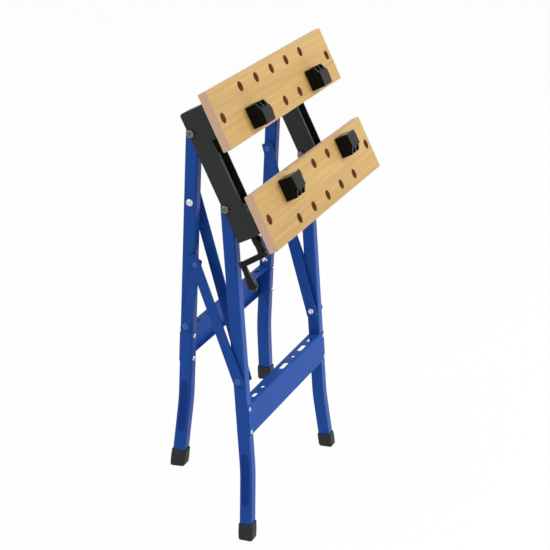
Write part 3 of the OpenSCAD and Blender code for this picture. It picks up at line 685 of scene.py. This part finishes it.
def rivet_head(radius, height, base, axis):
    """Domed rivet head: a thin rim, then a spherical crown."""
    rise = np.linspace(0.12, math.pi / 2 * 0.985, 10)
    crown = np.stack([radius * np.cos(rise) ** 0.8, height * (0.15 + 0.85 * np.sin(rise))], -1)
    return turned([[radius * 0.99, 0], [radius, height * 0.1]] + crown.tolist(), base, axis, 36)


def rod(radius, base, end):
    """Plain round shank between two places."""
    length = np.linalg.norm(end - base)
    ease = 0.4 * MM
    profile = [[radius * 0.9, 0], [radius, ease], [radius, length - ease], [radius * 0.9, length]]
    return turned(profile, base, end - base, 28)


def at_x(place, across):
    """The place, moved to a distance along X."""
    return np.array([across, place[1], place[2]])


BEAM_IN, BEAM_OUT = (corner[0] for corner in corners("beam_right"))
BOLT_RADIUS = 4 * MM
BOLT_HEAD_RADIUS = 8 * MM
BOLT_HEAD_HEIGHT = 4 * MM
BOLT_TAIL = 7 * MM
RIVET_RADIUS = 3 * MM
PIN_RADIUS = 3.1 * MM
HEAD_RADIUS = 7 * MM
SMALL_HEAD_RADIUS = 6 * MM
HEAD_HEIGHT = 2.6 * MM
SEAT_PLAY = 0.3 * MM

bolts = []
for side in (-1, 1):
    for place in (FRONT_PIVOT, REAR_PIVOT):
        seat = at_x(place, side * BEAM_OUT)
        bolts.append(pan_head(BOLT_HEAD_RADIUS, BOLT_HEAD_HEIGHT, seat, side * X))
        bolts.append(rod(BOLT_RADIUS, at_x(place, side * (BEAM_IN - BOLT_TAIL)), seat))
bolt_set = mesh_of("pivot_bolt_set", bolts)
finish_piece(bolt_set, bolt_set.name, "top_frame", bolt_steel, ["pivot_bolts"])


def rivet_set(name, node, place, inner_end, material, inner_heads=True):
    """Pair of rivets from an inner end out to their solid's outer ends, with a painted or plain outer head
    and, where it shows, a plain inner head."""
    low, high = corners(node)
    rivets, inner = [], []
    for side in (-1, 1):
        outer_seat = at_x(place, side * max(abs(low[0]), abs(high[0])) - side * HEAD_HEIGHT)
        inner_seat = at_x(place, side * inner_end + (side * HEAD_HEIGHT if inner_heads else 0))
        rivets.append(rivet_head(HEAD_RADIUS, HEAD_HEIGHT, outer_seat, side * X))
        rivets.append(rod(RIVET_RADIUS, inner_seat, outer_seat))
        if inner_heads:
            inner.append(rivet_head(SMALL_HEAD_RADIUS, HEAD_HEIGHT, inner_seat, -side * X))
    finish_piece(mesh_of(name, rivets), name, BODY_OF[node], material, [node])
    if inner:
        finish_piece(mesh_of(f"{name}_inner", inner), f"{name}_inner", BODY_OF[node], zinc)


def headed_pin(node, side, outwards):
    """Pin of a linkage with one domed head, at its outer or its inner end."""
    inner, outer = sorted((corner[0] for corner in corners(node)), key=abs)
    head, tail = (outer, inner) if outwards else (inner, outer)
    way = side if outwards else -side
    seat = at_x(middle(node), head - way * HEAD_HEIGHT)
    ends = [seat, at_x(seat, tail)]
    pin = [rivet_head(SMALL_HEAD_RADIUS, HEAD_HEIGHT, seat, way * X),
           rod(PIN_RADIUS, *(ends[::-1] if outwards else ends))]
    finish_piece(mesh_of(f"{node}_head", pin), f"{node}_head", BODY_OF[node], painted_rivet, [node])


STRUT_IN, STRUT_OUT = (corner[0] for corner in corners("strut_right"))
LEG_IN = LEG_X - LEG_HALF_DEPTH
rivet_set("shared_rivet_set", "shared_rivets", pivot("left_strut_swing"), STRUT_IN - SEAT_PLAY - HEAD_HEIGHT,
          painted_rivet)
rivet_set("strut_top_rivet_set", "strut_top_rivets", middle("strut_top_rivets"), STRUT_OUT + SEAT_PLAY, zinc,
          inner_heads=False)
rivet_set("spreader_bottom_rivet_set", "spreader_bottom_rivets", pivot("left_rear_link_swing"),
          LEG_IN - HEAD_HEIGHT, painted_rivet)
for hand, side in HANDS:
    headed_pin(f"strut_stud_{hand}", side, outwards=False)
    headed_pin(f"link_rivet_{hand}", side, outwards=True)

# ---------------------------------------------------------------- crank

ARM_THICK = 11 * MM
ARM_EDGE = 2.2 * MM
HUB_RADIUS = 9 * MM
ARM_END_RADIUS = 7.5 * MM
GRIP_LENGTH = 46 * MM

ARM_FRONT = BEAM_FRONT - END_GAP - HUB_LENGTH
hub_foot = on_axis(pivot("crank_turn"), ARM_FRONT)
pin_foot = on_axis(pivot("grip_spin"), ARM_FRONT)
arm_way = pin_foot - hub_foot
throw = np.linalg.norm(arm_way)
arm_way /= throw
arm_side = np.cross(UP_BEAM, arm_way)


def hub_surface():
    """Moulded hub: a swollen foot round the arm, a waist, and a round mouth over the screw, as heights and
    radii in millimetres."""
    foot = [(0.0, 7.4), (0.5, 8.6), (1.6, 9.0), (12.0, 9.0)]
    waist = [(13.2, 8.6), (15.0, 8.1), (24.0, 7.9), (27.0, 8.2)]
    mouth = [(29.0, 8.8), (30.5, 9.0), (40.2, 9.0), (41.6, 8.4), (42.0, 7.4)]
    profile = [[radius * MM, height * MM] for height, radius in foot + waist + mouth]
    return turned(profile, hub_foot, UP_BEAM)


def arm_surface():
    """Arm between hub and pin: a rounded section that narrows along it, with a half circle at each end."""
    start_radius = HUB_RADIUS * 0.9
    stations = np.concatenate([-np.cos(np.linspace(0.05, math.pi / 2, 7)) * start_radius,
                               np.linspace(0.1, 0.9, 7) * throw,
                               throw + np.sin(np.linspace(0, math.pi / 2 - 0.05, 7)) * ARM_END_RADIUS])
    share = np.clip(stations / throw, 0, 1)
    past = np.minimum(stations, 0) / start_radius + np.maximum(stations - throw, 0) / ARM_END_RADIUS
    half = start_radius * (1 - share) + ARM_END_RADIUS * share
    half = half * np.sqrt(np.clip(1 - past**2, 0.01, 1)) * (1 - 0.14 * np.sin(math.pi * share))
    rows = []
    for station, width in zip(stations, half):
        outline = rounded_box(width, ARM_THICK / 2, min(ARM_EDGE, width * 0.9), 3, 5)
        middle_line = hub_foot + ARM_THICK / 2 * UP_BEAM + station * arm_way
        rows.append(middle_line + outline[:, :1] * arm_side + outline[:, 1:] * UP_BEAM)
    return np.array(rows)


def grip_surface():
    """Grip: slim neck by the arm, swelling towards a rounded end, as shares of its length and radii in
    millimetres."""
    neck = [(0.006, 4.9), (0.03, 5.5), (0.08, 6.0), (0.18, 5.8), (0.32, 6.4)]
    swell = [(0.45, 7.2), (0.58, 8.2), (0.7, 9.1), (0.8, 9.5), (0.9, 9.5)]
    rounded_end = [(0.96, 8.7), (0.99, 7.4), (1.0, 5.6)]
    share = np.linspace(neck[0][0], 1, 44)
    radius = np.interp(share, *zip(*neck, *swell, *rounded_end))
    radius = np.convolve(np.pad(radius, 1, "edge"), [0.25, 0.5, 0.25], "valid")
    return turned(np.stack([radius * MM, share * GRIP_LENGTH], -1), pin_foot, -UP_BEAM)


for node, forms in (("crank", [hub_surface(), arm_surface()]), ("crank_grip", [grip_surface()])):
    moulding = mesh_of(f"{node}_moulding", forms)
    finish_piece(moulding, moulding.name, BODY_OF[node], black_plastic, [node])

# ---------------------------------------------------------------- studio

FLOOR_HALF = 30.0
FLOOR_GLOW = 0.95
SKY_STRENGTH = 0.55
CENTRE = (np.array(cad_box[0]) + np.array(cad_box[1])) / 2
CAMERA_PLACE = np.array([-3.2762, -1.2308, 1.6576])
CAMERA_AZIMUTH = math.radians(-69.45)
CAMERA_ELEVATION = math.radians(18.92)
CAMERA_LENS = 122.7
CAMERA_SENSOR = 36.0


def aim(thing, place, target):
    """Puts a camera or lamp at a place, looking at a target."""
    thing.location = place
    way = Vector(np.array(target, float) - np.array(place, float))
    thing.rotation_mode = "QUATERNION"
    thing.rotation_quaternion = way.to_track_quat("-Z", "Y")
    bpy.context.scene.collection.objects.link(thing)


def lamp(name, place, size, power):
    """Square area lamp aimed at the middle of the part."""
    light = bpy.data.lights.new(name, "AREA")
    light.size = size
    light.energy = power
    aim(bpy.data.objects.new(name, light), place, CENTRE)


def make_floor():
    """White floor that shows as the pale background, and keeps a part of the object's shadow."""
    mesh = bpy.data.meshes.new("floor")
    square = np.array([[-1, -1, 0], [1, -1, 0], [1, 1, 0], [-1, 1, 0]]) * FLOOR_HALF
    mesh.from_pydata(square.tolist(), [], [[0, 1, 2, 3]])
    material, tree, shader = new_material("floor")
    shader.inputs["Base Color"].default_value = (0.93, 0.93, 0.93, 1)
    shader.inputs["Roughness"].default_value = 0.9
    shader.inputs["Specular IOR Level"].default_value = 0.0
    glow = put(tree, "ShaderNodeEmission", {"Color": (1, 1, 1, 1), "Strength": 1.0})
    seen = put(tree, "ShaderNodeLightPath").outputs
    reflected = math_node(tree, "MAXIMUM", seen["Is Glossy Ray"], seen["Is Transmission Ray"])
    direct = math_node(tree, "MAXIMUM", seen["Is Camera Ray"], reflected)
    share = math_node(tree, "MULTIPLY", direct, FLOOR_GLOW)
    blend = put(tree, "ShaderNodeMixShader", {0: share, 1: shader.outputs[0], 2: glow.outputs[0]})
    output = next(node for node in tree.nodes if node.type == "OUTPUT_MATERIAL")
    tree.links.new(blend.outputs[0], output.inputs[0])
    mesh.materials.append(material)
    floor = bpy.data.objects.new("floor", mesh)
    bpy.context.scene.collection.objects.link(floor)


def make_world():
    """White where the camera, a reflection or clear material sees it, and a softer grey sky that lights the
    object."""
    world = bpy.data.worlds.new("studio")
    bpy.context.scene.world = world
    world.use_nodes = True
    tree = world.node_tree
    tree.nodes.clear()
    seen = put(tree, "ShaderNodeLightPath").outputs
    sky = put(tree, "ShaderNodeBackground", {"Color": (0.95, 0.97, 1.0, 1), "Strength": SKY_STRENGTH})
    backdrop = put(tree, "ShaderNodeBackground", {"Color": (1, 1, 1, 1), "Strength": 1.0})
    reflected = math_node(tree, "MAXIMUM", seen["Is Glossy Ray"], seen["Is Transmission Ray"])
    direct = math_node(tree, "MAXIMUM", seen["Is Camera Ray"], reflected)
    blend = put(tree, "ShaderNodeMixShader", {0: direct, 1: sky.outputs[0], 2: backdrop.outputs[0]})
    output = tree.nodes.new("ShaderNodeOutputWorld")
    tree.links.new(blend.outputs[0], output.inputs[0])


make_floor()
make_world()
lamp("key", (0.9, -2.6, 2.6), 2.2, 88)
lamp("side", (-2.2, 1.9, 2.2), 1.2, 22)

camera_data = bpy.data.cameras.new("camera")
camera_data.sensor_width = CAMERA_SENSOR
camera_data.lens = CAMERA_LENS
camera_data.clip_end = 100
camera = bpy.data.objects.new("camera", camera_data)
level = math.cos(CAMERA_ELEVATION)
back = np.array([math.sin(CAMERA_AZIMUTH) * level, -math.cos(CAMERA_AZIMUTH) * level,
                 math.sin(CAMERA_ELEVATION)])
aim(camera, CAMERA_PLACE, CAMERA_PLACE - back)
bpy.context.scene.camera = camera
bpy.context.scene.view_settings.view_transform = "Standard"
